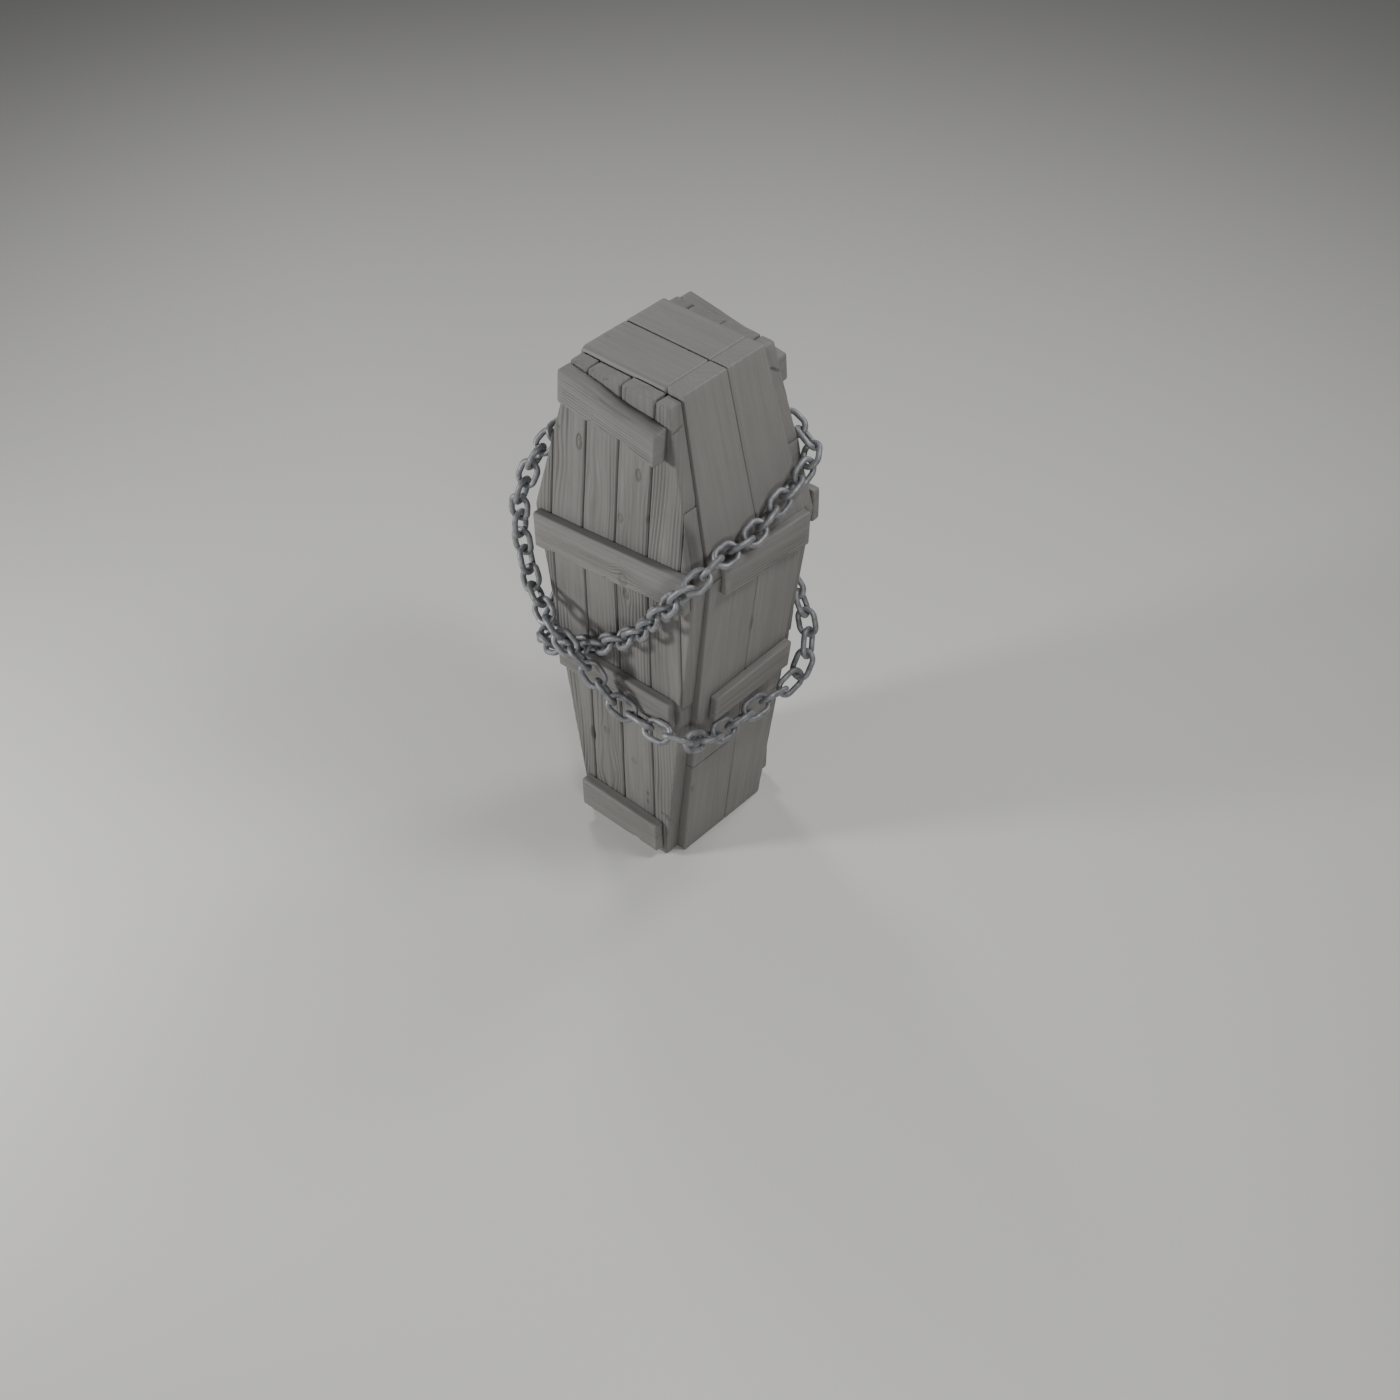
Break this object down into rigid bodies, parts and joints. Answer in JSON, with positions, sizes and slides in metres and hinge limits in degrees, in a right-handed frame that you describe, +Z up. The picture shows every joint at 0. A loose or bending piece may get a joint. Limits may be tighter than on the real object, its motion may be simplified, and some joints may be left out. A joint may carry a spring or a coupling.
{
  "type": "wooden coffin",
  "caption": "Upright hexagonal coffin of thick weathered planks with nailed battens front, back and sides, wrapped in crossing iron chains; the plank lid lifts off.",
  "frame": {"origin": "centre of the underside, midway between lid and back panel, on the floor", "axes": "+Z up towards the head end, -Y towards the lid, +X across the width"},
  "size_m": [0.9521, 0.9273, 2],
  "materials": {
    "weathered_timber": "rough-sawn softwood planks weathered silver-grey, grain raised by the weather",
    "planed_timber": "planed softwood boards weathered grey, nearly smooth",
    "wrought_iron": "forged round wire, dull grey with rubbed highlights"
  },
  "bodies": {
    "root": {"back_foot_batten": "weathered_timber", "back_head_batten": "weathered_timber", "back_middle_batten": "weathered_timber", "back_plank_1": "weathered_timber", "back_plank_2": "weathered_timber", "back_plank_3": "weathered_timber", "back_plank_4": "weathered_timber", "back_plank_5": "weathered_timber", "back_plank_6": "weathered_timber", "back_shoulder_batten": "weathered_timber", "foot_back_board": "planed_timber", "foot_front_board": "planed_timber", "head_back_board": "planed_timber", "head_front_board": "planed_timber", "left_lower_back_board": "planed_timber", "left_lower_front_board": "planed_timber", "left_middle_batten": "weathered_timber", "left_shoulder_batten": "weathered_timber", "left_upper_back_board": "planed_timber", "left_upper_front_board": "planed_timber", "lid_foot_batten": "weathered_timber", "lid_head_batten": "weathered_timber", "lid_middle_batten": "weathered_timber", "lid_plank_1": "weathered_timber", "lid_plank_2": "weathered_timber", "lid_plank_3": "weathered_timber", "lid_plank_4": "weathered_timber", "lid_plank_5": "weathered_timber", "lid_plank_6": "weathered_timber", "lid_shoulder_batten": "weathered_timber", "lower_chain": "wrought_iron", "right_foot_patch_board": "planed_timber", "right_lower_back_board": "planed_timber", "right_lower_front_board": "planed_timber", "right_middle_batten": "weathered_timber", "right_shoulder_batten": "weathered_timber", "right_upper_back_board": "planed_timber", "right_upper_front_board": "planed_timber", "upper_chain": "wrought_iron"}
  },
  "joints": []
}
